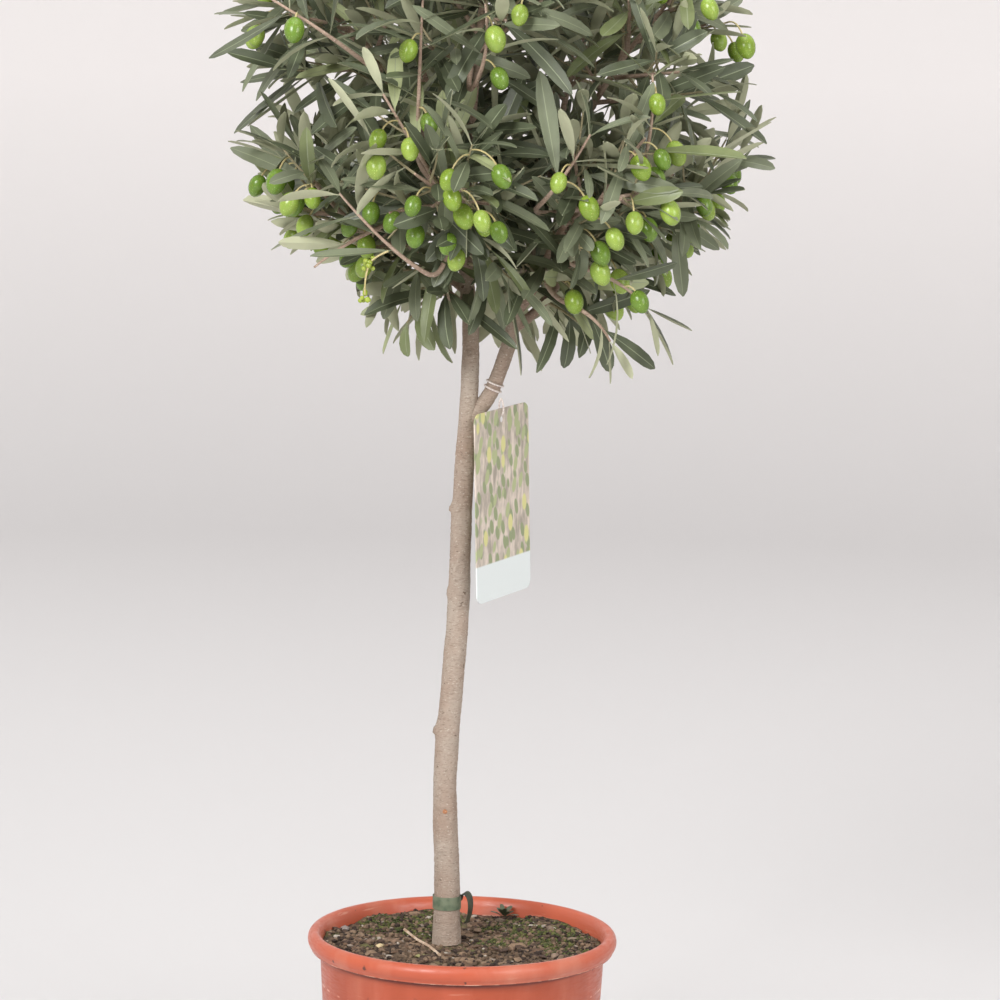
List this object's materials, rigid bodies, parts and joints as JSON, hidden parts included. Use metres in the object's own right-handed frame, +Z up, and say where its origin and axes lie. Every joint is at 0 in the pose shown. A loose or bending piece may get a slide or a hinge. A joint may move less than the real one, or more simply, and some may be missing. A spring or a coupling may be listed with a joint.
{
  "type": "potted olive tree",
  "caption": "Young olive tree grown as a standard: a bare stem under a rounded head of narrow leaves and green olives, in a round plastic pot of compost, with a hanging tag.",
  "frame": {"origin": "centre of the flat underside of the pot, where it stands", "axes": "+Z up along the trunk, +X to the right and -Y towards the viewer of the picture"},
  "size_m": [0.3629, 0.3542, 0.8637],
  "materials": {
    "pot": "satin moulded plastic",
    "compost": "crumbly",
    "bark": "rough",
    "young_bark": "rough",
    "foliage": "leathery",
    "tag": "printed card",
    "string": "soft",
    "tape": "satin"
  },
  "bodies": {
    "root": {"bough_high_2": "young_bark", "bough_high_3": "young_bark", "bough_high_4": "young_bark", "bough_high_5": "young_bark", "bough_low_1": "young_bark", "bough_low_2": "young_bark", "bough_low_3": "young_bark", "bough_low_4": "young_bark", "bough_low_5": "young_bark", "bough_low_6": "young_bark", "bough_low_7": "young_bark", "compost": "compost", "foliage_high_1": "foliage", "foliage_high_2": "foliage", "foliage_high_3": "foliage", "foliage_high_4": "foliage", "foliage_high_5": "foliage", "foliage_low_1": "foliage", "foliage_low_2": "foliage", "foliage_low_3": "foliage", "foliage_low_4": "foliage", "foliage_low_5": "foliage", "foliage_low_6": "foliage", "foliage_low_7": "foliage", "foliage_top": "foliage", "pot": "pot", "right_bough": "bark", "tag": "tag", "tag_string": "string", "tie_tape": "tape", "trunk": "bark"}
  },
  "joints": []
}
